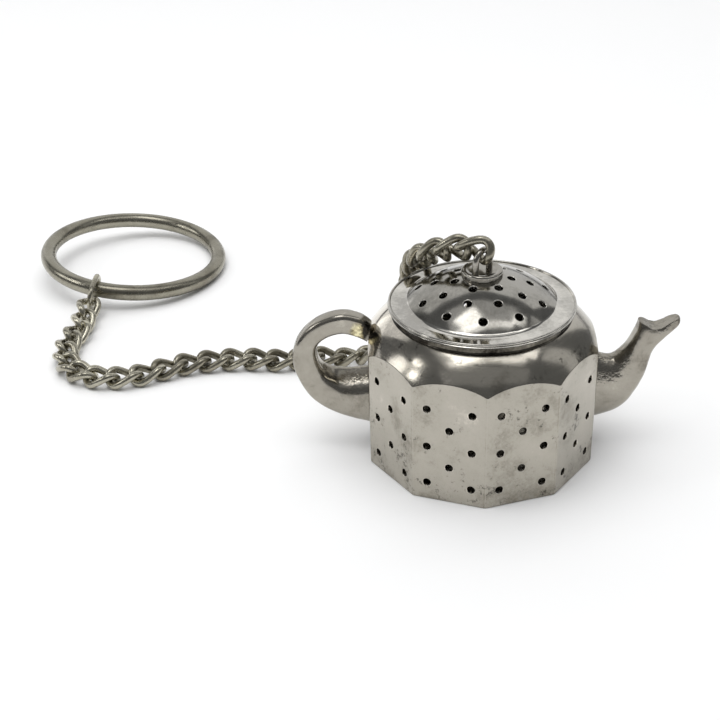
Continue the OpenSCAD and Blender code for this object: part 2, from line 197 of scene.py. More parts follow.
class Skin:
    """Points that carry their own normals, and faces turned to suit them."""

    def __init__(self):
        self.points = []
        self.normals = []
        self.wear_and_shading = []
        self.faces = []

    def add(self, point, normal, wear_and_shading=0.0):
        """Adds a point. Its wear and painted shading brighten it above zero and darken it below zero."""
        self.points.append(Vector(point))
        self.normals.append(Vector(normal).normalized())
        self.wear_and_shading.append(wear_and_shading)
        return len(self.points) - 1

    def row(self, points):
        return [self.add(*point) for point in points]

    def face(self, ids):
        p = [self.points[i] for i in ids]
        lean = (p[2] - p[0]).cross(p[3] - p[1]) if len(p) == 4 else (p[1] - p[0]).cross(p[2] - p[0])
        if lean.length > NO_AREA:
            mean = sum((self.normals[i] for i in ids), Vector((0, 0, 0)))
            self.faces.append(ids if lean.dot(mean) > 0 else ids[::-1])

    def band(self, rows, closed=True):
        """Quads between rows of points."""
        for low, high in zip(rows, rows[1:]):
            count = len(low)
            for i in range(count if closed else count - 1):
                j = (i + 1) % count
                self.face([low[i], low[j], high[j], high[i]])

    def turned(self, profile, sides=TURN_SIDES, wear_and_shading=0.0):
        """Revolves points (radius, height) with normals (out, up) about the Z axis."""
        spin = circle(1, sides)
        self.band([self.row([((r * c, r * s, z), (out * c, out * s, rise), wear_and_shading) for c, s in spin])
                   for r, z, out, rise in profile])

    def sheet(self, loops, seeds, put, holes):
        """A patch with holes: loops and seeds are flat points, put gives the place and normal of one."""
        flat = [Vector(p) for loop in loops for p in loop] + [Vector(p) for p in seeds]
        flat += [Vector(hole[:2]) for hole in holes]
        edges = []
        first = 0
        for loop in loops:
            edges += [(first + i, first + (i + 1) % len(loop)) for i in range(len(loop))]
            first += len(loop)
        points, _, faces, *_ = delaunay_2d_cdt(flat, edges, [], 0, 1e-6)
        ids = [self.add(*put(p)) for p in points]
        for face in faces:
            mid = sum((points[i] for i in face), Vector((0, 0))) / 3
            if all((mid - Vector(hole[:2])).length > HOLE_SHARE * hole[2] for hole in holes):
                self.face([ids[i] for i in face])

    def bore(self, base, axis, spokes, rows):
        """Lip and wall of a hole: rows give the radius, the place along the axis and the normals' lean."""
        self.band([self.row([(base + axis * along + s * r, axis * math.cos(lean) - s * math.sin(lean), LIP_WEAR)
                             for s in spokes]) for r, along, lean in rows])

    def tube(self, line, ups, radius, sides, closed=True, wear_and_shading=0.0):
        """Round wire along a line, with the given upward direction at each point."""
        count = len(line)
        spin = circle(1, sides)
        rows = []
        for i, point in enumerate(line):
            after = line[(i + 1) % count if closed else min(i + 1, count - 1)]
            before = line[i - 1 if closed else max(i - 1, 0)]
            along = (after - before).normalized()
            top = (ups[i] - ups[i].dot(along) * along).normalized()
            side = along.cross(top)
            spokes = [c * top + s * side for c, s in spin]
            rows.append(self.row([(point + radius * s, s, wear_and_shading) for s in spokes]))
        self.band(rows + rows[:1] if closed else rows)

    def make(self, name, place=Matrix.Identity(4), node=None):
        """Mesh of the skin, moved to its place and kept within the box of a node."""
        turn = place.to_3x3()
        points = [place @ p * MM for p in self.points]
        if node:
            low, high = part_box(node)
            points = [[min(max(v, a), b) for v, a, b in zip(p, low, high)] for p in points]
        mesh = bpy.data.meshes.new(name)
        mesh.from_pydata(points, [], self.faces)
        mesh.update()
        mesh.polygons.foreach_set("use_smooth", [True] * len(mesh.polygons))
        mesh.normals_split_custom_set_from_vertices([turn @ n for n in self.normals])
        mesh.attributes.new("wear_and_shading", "FLOAT", "POINT").data.foreach_set("value", self.wear_and_shading)
        return mesh


def piece(mesh, slot, body, node):
    """Puts a mesh on its body, in place of the CAD node that it stands for."""
    obj = bpy.data.objects.new(mesh.name, mesh)
    scene.collection.objects.link(obj)
    mesh.materials.append(metals[slot])
    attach(obj, body)
    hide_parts(node)


# Materials

# Darkest tint: grime of the foot's specks and the seams, and the painted shade of the neck and under the bead
GRIME_AND_SHADE = (0.022, 0.019, 0.015)
CHAR = (0.04, 0.036, 0.03)
SCORCH = (0.34, 0.29, 0.17)
SOLDER = (0.85, 0.78, 0.5)
TINT_STOPS = (0.12, 0.36, 0.55, 0.74, 1.0)
BLOT_STOPS = (0.34, 0.5, 0.66)
# Brightness of a polished edge and of a painted reflection over the brightest tint, and how far a value of 1 of
# wear and painted shading moves the tint there
POLISH_AND_REFLECTION = 1.7
WEAR_AND_SHADING_STEP = 0.3
# How far the fine mottling and the stain of the foot move the tint towards tarnish
MOTTLE = 0.25
FOOT_STAIN = 0.14
# Depths of the relief, in metres
RELIEF = 0.00004
CAST_RELIEF = 0.00025
# Noises: scale, detail and roughness
MOTTLE_NOISE = (1900.0, 3, 0.7)
CHAR_NOISE = (900.0, 4, 0.7)
BLOT_NOISE = (500.0, 3, 0.55)
SPECK_NOISE = (1300.0, 5, 0.75)
CLUSTER_NOISE = (240.0, 3, 0.55)
GRAIN_NOISE = (2200.0, 3, 0.55)
WAVE_NOISE = (260.0, 2, 0.55)
CAST_NOISE = (1100.0, 3, 0.6)


def metal(name, tints, rough, patch=130.0, streak=(700.0, 700.0, 90.0), bump=0.25,
          stain=0.0, spun=0.0, burn=None, pits=None):
    """Worn metal: tints from bright to tarnished by slow patches, streaked roughness, fine grain as relief.

    stain is a height below which the tarnish thickens and dark specks gather. spun says how fine the turning
    lines are where the metal faces up. burn gives the centre and the reach of a blot of solder. pits give the
    centre, reach and strength of rough spots. Lengths are in metres. The points' wear and painted shading
    brighten rubbed edges and a painted reflection, and darken seams and painted shade.
    """
    mat = bpy.data.materials.new(name)
    mat.use_nodes = True
    nodes = mat.node_tree.nodes
    link = mat.node_tree.links.new
    shader = nodes["Principled BSDF"]
    shader.inputs["Metallic"].default_value = 1.0
    places = nodes.new("ShaderNodeTexCoord").outputs
    coords = places["Object"]

    def cloud(scale, detail, roughness, vector=coords):
        tex = nodes.new("ShaderNodeTexNoise")
        tex.inputs["Scale"].default_value = scale
        tex.inputs["Detail"].default_value = detail
        tex.inputs["Roughness"].default_value = roughness
        link(vector, tex.inputs["Vector"])
        return tex.outputs["Fac"]

    def reach(value, low, high, to_low, to_high):
        node = nodes.new("ShaderNodeMapRange")
        node.inputs["From Min"].default_value = low
        node.inputs["From Max"].default_value = high
        node.inputs["To Min"].default_value = to_low
        node.inputs["To Max"].default_value = to_high
        link(value, node.inputs["Value"])
        return node.outputs["Result"]

    def combine(kind, a, b):
        node = nodes.new("ShaderNodeMath")
        node.operation = kind
        for socket, value in zip(node.inputs, (a, b)):
            if isinstance(value, float):
                socket.default_value = value
            else:
                link(value, socket)
        return node.outputs["Value"]

    def weigh(a, share_a, b, share_b):
        return combine("ADD", combine("MULTIPLY", a, share_a), combine("MULTIPLY", b, share_b))

    def ramp(value, stops, colors):
        node = nodes.new("ShaderNodeValToRGB")
        elements = node.color_ramp.elements
        while len(elements) < len(stops):
            elements.new(0.5)
        for element, position, tint in zip(elements, stops, colors):
            element.position = position
            element.color = (*tint, 1)
        link(value, node.inputs["Fac"])
        return node.outputs["Color"]

    def blend(factor, a, b):
        node = nodes.new("ShaderNodeMix")
        node.data_type = "RGBA"
        link(factor, node.inputs["Factor"])
        for socket, tint in ((node.inputs["A"], a), (node.inputs["B"], b)):
            if isinstance(tint, tuple):
                socket.default_value = (*tint, 1)
            else:
                link(tint, socket)
        return node.outputs["Result"]

    def split(vector):
        node = nodes.new("ShaderNodeSeparateXYZ")
        link(vector, node.inputs["Vector"])
        return node.outputs

    def scaled(scale):
        node = nodes.new("ShaderNodeMapping")
        node.inputs["Scale"].default_value = scale
        link(coords, node.inputs["Vector"])
        return node.outputs["Vector"]

    def distance(spot):
        node = nodes.new("ShaderNodeVectorMath")
        node.operation = "DISTANCE"
        link(coords, node.inputs[0])
        node.inputs[1].default_value = spot
        return node.outputs["Value"]

    # Tint
    at = split(coords)
    fine = combine("MULTIPLY", combine("SUBTRACT", cloud(*MOTTLE_NOISE), 0.5), MOTTLE)
    wear_and_shading = combine("ADD", cloud(patch, 5, 0.62), fine)
    if stain:
        wear_and_shading = combine("ADD", wear_and_shading, reach(at["Z"], 0.0, stain, FOOT_STAIN, 0.0))
    # Wear and painted shading of the points: painted shade darkens the neck and the bead's underside, a painted
    # reflection brightens the shoulder by the handle
    rubbed_and_shaded = nodes.new("ShaderNodeAttribute")
    rubbed_and_shaded.attribute_name = "wear_and_shading"
    wear_and_shading = combine("SUBTRACT", wear_and_shading, combine("MULTIPLY", rubbed_and_shaded.outputs["Fac"], WEAR_AND_SHADING_STEP))
    polish_and_reflection = tuple(min(1.0, POLISH_AND_REFLECTION * t) for t in tints[0])
    color = ramp(wear_and_shading, TINT_STOPS, (polish_and_reflection, *tints, GRIME_AND_SHADE))
    if burn:
        *centre, size = burn
        outer_side = reach(at["X"], centre[0], centre[0] + 0.0008, 0.04, -0.22)
        blot = ramp(combine("ADD", cloud(*CHAR_NOISE), outer_side), BLOT_STOPS, (CHAR, SCORCH, SOLDER))
        edge = combine("ADD", distance(centre), combine("MULTIPLY", cloud(*BLOT_NOISE), size))
        color = blend(reach(edge, 1.2 * size, 1.6 * size, 1.0, 0.0), color, blot)
    if stain:
        height = reach(at["Z"], 0.2 * stain, 1.6 * stain, 0.0, 0.045)
        speck = combine("SUBTRACT", weigh(cloud(*SPECK_NOISE), 0.6, cloud(*CLUSTER_NOISE), 0.4), height)
        color = blend(reach(speck, 0.535, 0.60, 0.0, 0.7), color, GRIME_AND_SHADE)
    link(color, shader.inputs["Base Color"])

    # Roughness: brushed lines, which run round where the metal is spun
    lines = cloud(1.0, 4, 0.6, scaled(streak))
    if spun:
        out = nodes.new("ShaderNodeVectorMath")
        out.operation = "LENGTH"
        link(scaled((1, 1, 0)), out.inputs[0])
        round_line = nodes.new("ShaderNodeCombineXYZ")
        link(combine("MULTIPLY", out.outputs["Value"], spun), round_line.inputs["X"])
        link(combine("MULTIPLY", at["Z"], spun), round_line.inputs["Y"])
        link(combine("MULTIPLY", at["X"], 120.0), round_line.inputs["Z"])
        turned = cloud(1.0, 3, 0.6, round_line.outputs["Vector"])
        faces_up = reach(split(places["Normal"])["Z"], 0.25, 0.4, 0.0, 1.0)
        change = combine("MULTIPLY", combine("SUBTRACT", turned, lines), faces_up)
        lines = combine("ADD", lines, change)
    link(reach(weigh(lines, 0.5, wear_and_shading, 0.5), 0.32, 0.68, *rough), shader.inputs["Roughness"])

    # Relief
    relief = nodes.new("ShaderNodeBump")
    relief.inputs["Strength"].default_value = bump
    relief.inputs["Distance"].default_value = RELIEF
    height = combine("ADD", weigh(cloud(*GRAIN_NOISE), 0.25, lines, 0.35), cloud(*WAVE_NOISE))
    link(height, relief.inputs["Height"])
    if pits:
        rough_cast = nodes.new("ShaderNodeBump")
        rough_cast.inputs["Distance"].default_value = CAST_RELIEF
        link(cloud(*CAST_NOISE), rough_cast.inputs["Height"])
        depth = None
        for *centre, size, strength in pits:
            spot = reach(distance(centre), 0.5 * size, size, strength, 0.0)
            depth = combine("MAXIMUM", depth, spot) if depth else spot
        link(depth, rough_cast.inputs["Strength"])
        link(rough_cast.outputs["Normal"], relief.inputs["Normal"])
    link(relief.outputs["Normal"], shader.inputs["Normal"])
    return mat


# Tints from bright to tarnished, lowest and highest roughness, and what sets each metal apart
METALS = {
    "pot_metal": dict(
        tints=((0.47, 0.44, 0.385), (0.43, 0.405, 0.35), (0.25, 0.23, 0.19)), rough=(0.09, 0.24),
        stain=0.005, spun=2600.0),
    "lid_metal": dict(
        tints=((0.44, 0.425, 0.39), (0.39, 0.375, 0.34), (0.25, 0.24, 0.215)), rough=(0.07, 0.18),
        streak=(500.0, 500.0, 500.0), bump=0.15),
    "inner_metal": dict(
        tints=((0.34, 0.32, 0.28), (0.28, 0.26, 0.22), (0.16, 0.15, 0.125)), rough=(0.26, 0.46)),
    "eye_metal": dict(
        tints=((0.42, 0.405, 0.37), (0.36, 0.34, 0.30), (0.22, 0.205, 0.17)), rough=(0.10, 0.25),
        streak=(900.0, 900.0, 300.0)),
    "cast_metal": dict(
        tints=((0.395, 0.37, 0.32), (0.35, 0.327, 0.28), (0.205, 0.187, 0.155)), rough=(0.12, 0.28),
        patch=210.0, streak=(420.0, 420.0, 420.0), bump=0.7, burn=(-0.0203, -0.0012, 0.0232, 0.0019),
        pits=((-0.0213, -0.0012, 0.0142, 0.0034, 0.6), (0.0215, -0.002, 0.0155, 0.0065, 0.55),
              (0.0302, 0.0, 0.0243, 0.0045, 0.4))),
    "chain_metal": dict(
        tints=((0.44, 0.418, 0.34), (0.32, 0.298, 0.235), (0.155, 0.142, 0.108)), rough=(0.2, 0.36),
        patch=160.0, streak=(900.0, 900.0, 900.0), bump=0.35),
    "ring_metal": dict(
        tints=((0.36, 0.342, 0.28), (0.30, 0.283, 0.228), (0.165, 0.15, 0.115)), rough=(0.18, 0.36),
        patch=110.0, streak=(300.0, 300.0, 1200.0), bump=0.3)}
metals = {name: metal(name, **look) for name, look in METALS.items()}

for node, slot in (("base_plate", "pot_metal"), ("neck_collar", "inner_metal"), ("lid_skirt", "inner_metal")):
    obj = frame["nodes"][node]
    if not obj.material_slots:
        obj.data.materials.append(metals[slot])
    for held in obj.material_slots:
        held.material = metals[slot]


# Pot

HALF_SIDE = math.pi / SIDES
# Roundings of the wall's edges, the foot, the crease below the shoulder and the holes' lips
EDGE_ROUND = 0.9
INNER_ROUND = 0.4
FOOT_ROUND = 0.22
CREASE = 0.13
HOLE_LIP = 0.13
# Painted reflection of the handle: the shoulder is brightened towards the handle, from this cosine on
HANDLE_REFLECTION_FROM, HANDLE_REFLECTION_GAIN = 0.8, 5


def outline(inset, round_r):
    """Plan of the pot with rounded edges: points (x, y) with their outward directions."""
    flat = FLAT_R - inset
    half = (flat - round_r) * math.tan(HALF_SIDE)
    plan = []
    for k in range(SIDES):
        face = 2 * HALF_SIDE * k
        nx, ny = math.cos(face), math.sin(face)
        for i in range(FACE_STEPS + 1):
            u = half * (2 * i / FACE_STEPS - 1)
            plan.append((flat * nx - u * ny, flat * ny + u * nx, nx, ny))
        reach = (flat - round_r) / math.cos(HALF_SIDE)
        cx, cy = reach * math.cos(face + HALF_SIDE), reach * math.sin(face + HALF_SIDE)
        for i in range(1, CORNER_STEPS):
            w = face + 2 * HALF_SIDE * i / CORNER_STEPS
            plan.append((cx + round_r * math.cos(w), cy + round_r * math.sin(w), math.cos(w), math.sin(w)))
    return plan


def scallop(x, y, inset):
    """Angle on the shoulder's curve where the wall meets it."""
    return math.acos(min(1, (math.hypot(x, y) - SHOULDER_R) / (SHOULDER - inset)))


def crest(x, y, inset):
    """Height where the wall meets the shoulder."""
    return SHOULDER_Z + (SHOULDER - inset) * math.sin(scallop(x, y, inset))


def face_holes(k):
    """Holes of a face: place across it and height. The faces behind the handle and the spout have none."""
    if k % (SIDES // 2) == 0:
        return []
    spots = [(side * HOLE_SIDE, HOLE_LOW + row * HOLE_STEP) for side in (-1, 1) for row in range(3)]
    return spots + [(0.0, HOLE_LOW + row * HOLE_STEP) for row in (0.5, 1.5)]


def lip_rows(r, lip, top, end):
    """Radius, height and lean of the rows down a hole, from the top of its rounded lip to its end."""
    leans = [math.pi / 2 * i / LIP_STEPS for i in range(LIP_STEPS + 1)]
    rows = [(r + lip * (1 - math.sin(w)), top - lip * (1 - math.cos(w)), w) for w in leans]
    return rows + [(r, end, math.pi / 2)]


def build_pot():
    skin = Skin()
    outer = outline(0, EDGE_ROUND)
    inner = outline(SHEET, INNER_ROUND)
    per_face = FACE_STEPS + CORNER_STEPS

    rows = []
    bevel = 0.29 * FOOT_ROUND
    for inset, z, lean in ((SHEET, 0, 90), (FOOT_ROUND, 0, 90), (bevel, bevel, 45), (0, FOOT_ROUND, 0)):
        out, down = math.cos(math.radians(lean)), math.sin(math.radians(lean))
        plan = outline(inset, EDGE_ROUND - 0.8 * inset)
        rows.append(skin.row([((x, y, z), (nx * out, ny * out, -down)) for x, y, nx, ny in plan]))
    skin.band(rows)

    for plan, inset, sign, low in ((outer, 0, 1, FOOT_ROUND), (inner, SHEET, -1, 0)):
        sunk = CREASE if sign > 0 else 0
        tops = [crest(x, y, inset) - sunk for x, y, _, _ in plan]
        for k in range(SIDES):
            start = k * per_face
            face = 2 * HALF_SIDE * k
            nx, ny = math.cos(face), math.sin(face)
            flat = FLAT_R - inset
            along = [-x * ny + y * nx for x, y, _, _ in plan[start:start + FACE_STEPS + 1]]
            rim = [(along[0], low), (along[-1], low)]
            rim += [(along[i], tops[start + i]) for i in range(FACE_STEPS, -1, -1)]
            radius = HOLE_R + (HOLE_LIP if sign > 0 else 0)
            holes = [(u, z, radius) for u, z in face_holes(k)]
            loops = [rim] + [[(u + a, z + b) for a, b in circle(radius)] for u, z, _ in holes]

            def put(p, nx=nx, ny=ny, flat=flat, sign=sign):
                return (flat * nx - p.x * ny, flat * ny + p.x * nx, p.y), (sign * nx, sign * ny, 0)

            skin.sheet(loops, [], put, holes)
            edge = [[], []]
            for i, rub in enumerate(EDGE_WEAR):
                column = (start + FACE_STEPS + i) % len(plan)
                x, y, out_x, out_y = plan[column]
                for row, z in zip(edge, (low, tops[column])):
                    row.append(((x, y, z), (sign * out_x, sign * out_y, 0), rub))
            skin.band([skin.row(row) for row in edge], False)

    for k in range(SIDES):
        face = 2 * HALF_SIDE * k
        n = Vector((math.cos(face), math.sin(face), 0))
        t = Vector((-n.y, n.x, 0))
        spokes = [t * a + Vector((0, 0, b)) for a, b in circle(1)]
        for u, z in face_holes(k):
            middle = n * FLAT_R + t * u + Vector((0, 0, z))
            skin.bore(middle, n, spokes, lip_rows(HOLE_R, HOLE_LIP, 0.0, -SHEET))

    def shoulder(plan, inset, sign, end_r):
        """Turned shoulder from the scallops up to a radius. Gives its first row and the height of its end."""
        curve = SHOULDER - inset
        last = math.acos((end_r - SHOULDER_R) / curve)
        rows = []
        for i in range(SHOULDER_STEPS + 1):
            row = []
            for x, y, _, _ in plan:
                w = math.atan2(y, x)
                first = scallop(x, y, inset) + (CREASE / curve if sign > 0 else 0)
                a = first + (last - first) * i / SHOULDER_STEPS
                r = SHOULDER_R + curve * math.cos(a)
                spot = (r * math.cos(w), r * math.sin(w), SHOULDER_Z + curve * math.sin(a))
                normal = (math.cos(a) * math.cos(w), math.cos(a) * math.sin(w), math.sin(a))
                # Painted reflection of the handle: the shoulder brightens towards it
                handle_reflection = max(0.0, -math.cos(w) - HANDLE_REFLECTION_FROM) * HANDLE_REFLECTION_GAIN
                row.append((spot, dented(normal, spot, *SHOULDER_DENT) * sign, handle_reflection))
            rows.append(skin.row(row))
        skin.band(rows)
        return rows[0], SHOULDER_Z + curve * math.sin(last)

    first_row, neck_low = shoulder(outer, 0, 1, NECK_R)
    below = skin.row([((x, y, crest(x, y, 0) - CREASE), (nx, ny, 0)) for x, y, nx, ny in outer])
    skin.band([below, first_row])
    inside = NECK_R - SHEET
    _, inner_low = shoulder(inner, SHEET, -1, inside)
    foot_r = NECK_R + 0.25
    foot_z = SHOULDER_Z + math.sqrt(SHOULDER ** 2 - (foot_r - SHOULDER_R) ** 2)
    # The neck's outer face is darkened: painted shade under the lid's flange
    skin.turned([(foot_r, foot_z, foot_r - SHOULDER_R, foot_z - SHOULDER_Z),
                 (NECK_R + 0.07, neck_low + 0.05, 0.75, 0.65), (NECK_R, neck_low + 0.25, 1, 0),
                 (NECK_R, NECK_TOP - 0.15, 1, 0)], wear_and_shading=NECK_SHADE)
    skin.turned([(NECK_R, NECK_TOP - 0.15, 1, 0),
                 (NECK_R - 0.05, NECK_TOP - 0.05, 0.7, 0.7), (NECK_R - 0.15, NECK_TOP, 0, 1),
                 (inside + 0.1, NECK_TOP, 0, 1), (inside + 0.03, NECK_TOP - 0.03, -0.7, 0.7),
                 (inside, NECK_TOP - 0.1, -1, 0), (inside, inner_low, -1, 0)])
    return skin.make("pot_shell")


piece(build_pot(), "pot_metal", "pot", "body_shell")


# Lid

DOME_LIP = 0.14
DOME_FOOT = 12.35
FILLET = 0.65
# Rows of the lower roll that turn under
UNDER_ROWS = 8


def on_dome(flat, curve, sign):
    """Place, normal and wear of a point given by its distance along the dome and its direction."""
    s = flat.length
    a = s / curve
    c, d = (flat.x / s, flat.y / s) if s > 1e-9 else (1.0, 0.0)
    way = Vector((math.sin(a) * c, math.sin(a) * d, math.cos(a)))
    return way * curve + Vector((0, 0, DOME_C)), dented(way, way * curve, *DOME_DENT) * sign, DOME_WEAR


def unrolled(p, lean, curve):
    """Flat point for a place on the dome that leans from the axis by an angle."""
    s = curve * lean
    w = math.atan2(p.y, p.x)
    return s * math.cos(w), s * math.sin(w)


def build_lid():
    skin = Skin()
    holes = []
    for number, radius, first in DOME_RINGS:
        for k in range(number):
            az = math.radians(first + 360 / number * k)
            lean = math.asin(radius / DOME_CURVE)
            axis = Vector((math.sin(lean) * math.cos(az), math.sin(lean) * math.sin(az), math.cos(lean)))
            side = Vector((-math.sin(az), math.cos(az), 0))
            holes.append((axis, side, side.cross(axis)))
    inner = DOME_CURVE - SHEET
    for curve, sign, r, end in ((DOME_CURVE, 1, DOME_HOLE_R + DOME_LIP, math.asin(DOME_FOOT / DOME_CURVE)),
                                (inner, -1, DOME_HOLE_R, math.acos((FLANGE_LOW - DOME_C) / inner))):
        span = curve * end
        loops = [[(span * a, span * b) for a, b in circle(1, TURN_SIDES)]]
        spots = []
        for axis, e, f in holes:
            reach = math.sqrt(curve ** 2 - r ** 2)
            loop = []
            for a, b in circle(r):
                p = axis * reach + e * a + f * b
                loop.append(unrolled(p, math.acos(min(1, p.z / curve)), curve))
            loops.append(loop)
            spots.append((*unrolled(axis, math.acos(axis.z), curve), r))
        seeds = []
        rings = int(span / SEED_RING)
        for i in range(1, rings):
            s = span * i / rings
            for a, b in circle(s, max(SEED_LEAST, int(math.tau * s / SEED_STEP))):
                if all(math.hypot(a - x, b - y) > r + SEED_CLEAR for x, y, _ in spots):
                    seeds.append((a, b))
        skin.sheet(loops, seeds, lambda p, c=curve, g=sign: on_dome(p, c, g), spots)
    top = math.sqrt(DOME_CURVE ** 2 - (DOME_HOLE_R + DOME_LIP) ** 2)
    end = math.sqrt(inner ** 2 - DOME_HOLE_R ** 2)
    for axis, e, f in holes:
        spokes = [e * a + f * b for a, b in circle(1)]
        skin.bore(Vector((0, 0, DOME_C)), axis, spokes, lip_rows(DOME_HOLE_R, DOME_LIP, top, end))

    profile = []
    start = Vector((DOME_FOOT, DOME_C + math.sqrt(DOME_CURVE ** 2 - DOME_FOOT ** 2)))
    bend = Vector((DOME_R, FLANGE_TOP))
    stop = Vector((DOME_R + FILLET, FLANGE_TOP))
    for i in range(FILLET_STEPS + 1):
        t = i / FILLET_STEPS
        p = start * (1 - t) ** 2 + bend * 2 * t * (1 - t) + stop * t ** 2
        d = (bend - start) * (1 - t) + (stop - bend) * t
        profile.append((p.x, p.y, -d.y, d.x))
    rim = []
    for r, z, size, first, last, late in (UPPER_ROLL, LOWER_ROLL):
        for i in range(ROLL_STEPS + 1):
            w = math.radians(first + (last - first) * i / ROLL_STEPS)
            lean = math.radians(first + (last - first) * (i / ROLL_STEPS) ** late)
            rim.append((r + size * math.cos(w), z + size * math.sin(w), math.cos(lean), math.sin(lean)))
    profile.append((rim[0][0], FLANGE_TOP, 0, 1))
    skin.turned(profile, wear_and_shading=FLANGE_WEAR)
    inside = math.sqrt(inner ** 2 - (FLANGE_LOW - DOME_C) ** 2)
    skin.turned(rim[:1 - UNDER_ROWS], wear_and_shading=ROLL_WEAR)
    # The rows that turn under are darkened: painted shade under the bead
    skin.turned(rim[-UNDER_ROWS:] + [(inside, FLANGE_LOW, 0, -1)], wear_and_shading=UNDER_ROLL_SHADE)
    return skin.make("lid_dome")


def build_knob():
    """Thin dished button: undercut foot, rounded edge, slope into the dish."""
    skin = Skin()
    seat = DOME_C + math.sqrt(DOME_CURVE ** 2 - KNOB_R ** 2)
    profile = [(KNOB_R - 0.2, seat + 0.02, 0.5, -0.8), (KNOB_R - 0.05, seat + 0.1, 0.9, -0.4),
               (KNOB_R, seat + 0.25, 1, 0)]
    rim = KNOB_R - KNOB_ROUND
    for i in range(KNOB_STEPS + 1):
        w = math.pi / 2 * i / KNOB_STEPS
        profile.append((rim + KNOB_ROUND * math.cos(w), KNOB_TOP - KNOB_ROUND + KNOB_ROUND * math.sin(w),
                        math.cos(w), math.sin(w)))
    for i in range(1, DISH_STEPS + 1):
        t = i / DISH_STEPS
        fall = DISH_DEPTH * (1 - math.cos(math.pi * t)) / 2
        slope = DISH_DEPTH * math.pi * math.sin(math.pi * t) / 2
        profile.append((rim - DISH_EDGE * t, KNOB_TOP - fall, -slope / DISH_EDGE, 1))
    profile.append((0.01, KNOB_TOP - DISH_DEPTH, 0, 1))
    skin.turned(profile, KNOB_SIDES)
    return skin.make("knob_button")


def build_eye():
    """Upright wire loop: a leg, the bend and the other leg."""
    skin = Skin()
    side = Vector((-math.sin(CHAIN_AZ), math.cos(CHAIN_AZ), 0))
    front = Vector((math.cos(CHAIN_AZ), math.sin(CHAIN_AZ), 0))
    leg = EYE_BEND - EYE_FOOT
    line = [side * EYE_HALF + Vector((0, 0, EYE_FOOT + leg * i / LEG_STEPS)) for i in range(LEG_STEPS)]
    for i in range(LOOP_STEPS + 1):
        w = math.pi * i / LOOP_STEPS
        line.append(side * EYE_HALF * math.cos(w) + Vector((0, 0, EYE_BEND + EYE_HALF * math.sin(w))))
    line += [-side * EYE_HALF + Vector((0, 0, EYE_BEND - leg * i / LEG_STEPS)) for i in range(1, LEG_STEPS + 1)]
    skin.tube(line, [front] * len(line), EYE_WIRE / 2, LOOP_SIDES, False)
    return skin.make("eye_loop")


piece(build_lid(), "lid_metal", "lid", "lid_cap")
piece(build_knob(), "eye_metal", "lid", "lid_knob")
piece(build_eye(), "eye_metal", "lid", "lid_eye")


# Handle and spout

CORNER = 0.55
# How far a casting sinks below its smooth form, how fine its coarse and fine lumps are, and its sharp angle
UNEVEN = 0.1
COARSE_LUMPS = 0.42
FINE_LUMPS = 1.1
SHARP = math.radians(50)


def smooth(stations, steps):
    """Smooth curve through stations, each a list of numbers."""
    line = []
    for i in range(len(stations) - 1):
        a = stations[max(i - 1, 0)]
        b, c = stations[i], stations[i + 1]
        d = stations[min(i + 2, len(stations) - 1)]
        for k in range(steps):
            t = k / steps
            line.append([(2 * q + (r - p) * t + (2 * p - 5 * q + 4 * r - s) * t * t
                          + (3 * q - p - 3 * r + s) * t ** 3) / 2 for p, q, r, s in zip(a, b, c, d)])
    return line + [list(stations[-1])]


def fuller(v, power):
    """A cosine or sine that gives an oval fuller corners the further the power is below 1."""
    return math.copysign(abs(v) ** power, v)


def section(station, scale=1, lift=0.0):
    """Ring of a section between an upper and a lower rail point, with its corner power and its lean."""
    ux, uz, lx, lz, width, power, lean = station
    ring = []
    for j in range(CAST_SIDES):
        w = math.tau * j / CAST_SIDES
        rise = scale * fuller(math.cos(w), power)
        y = scale * width / 2 * fuller(math.sin(w), power)
        ring.append(Vector(((ux + lx) / 2 + (ux - lx) / 2 * rise, y,
                            (uz + lz) / 2 + (uz - lz) / 2 * rise + lean * y * (1 - rise) / 2 + lift)))
    return ring


def casting(name, rings, seed, rub, shape=None):
    """Closed skin over rings of points, slightly uneven as a casting is. rub gives a point's wear."""
    points = [p for ring in rings for p in ring]
    faces = []
    for i in range(len(rings) - 1):
        low, high = i * CAST_SIDES, (i + 1) * CAST_SIDES
        for j in range(CAST_SIDES):
            k = (j + 1) % CAST_SIDES
            faces.append((low + j, low + k, high + k, high + j))
    last = len(points) - CAST_SIDES
    faces.append(tuple(range(CAST_SIDES - 1, -1, -1)))
    faces.append(tuple(range(last, len(points))))
    mesh = bpy.data.meshes.new(name)
    mesh.from_pydata(points, [], faces)
    mesh.update()
    moved = []
    for v in mesh.vertices:
        lump = noise.noise(v.co * COARSE_LUMPS + Vector((seed, 0, 0)))
        lump += 0.5 * noise.noise(v.co * FINE_LUMPS + Vector((0, seed, 0)))
        p = v.co - v.normal * UNEVEN * max(0, 0.5 + 0.5 * lump)
        moved.append(shape(p) if shape else p)
    for v, p in zip(mesh.vertices, moved):
        v.co = p * MM
    mesh.update()
    mesh.polygons.foreach_set("use_smooth", [True] * len(mesh.polygons))
    mesh.set_sharp_from_angle(angle=SHARP)
    mesh.attributes.new("wear_and_shading", "FLOAT", "POINT").data.foreach_set("value", [rub(p) for p in moved])
    return mesh


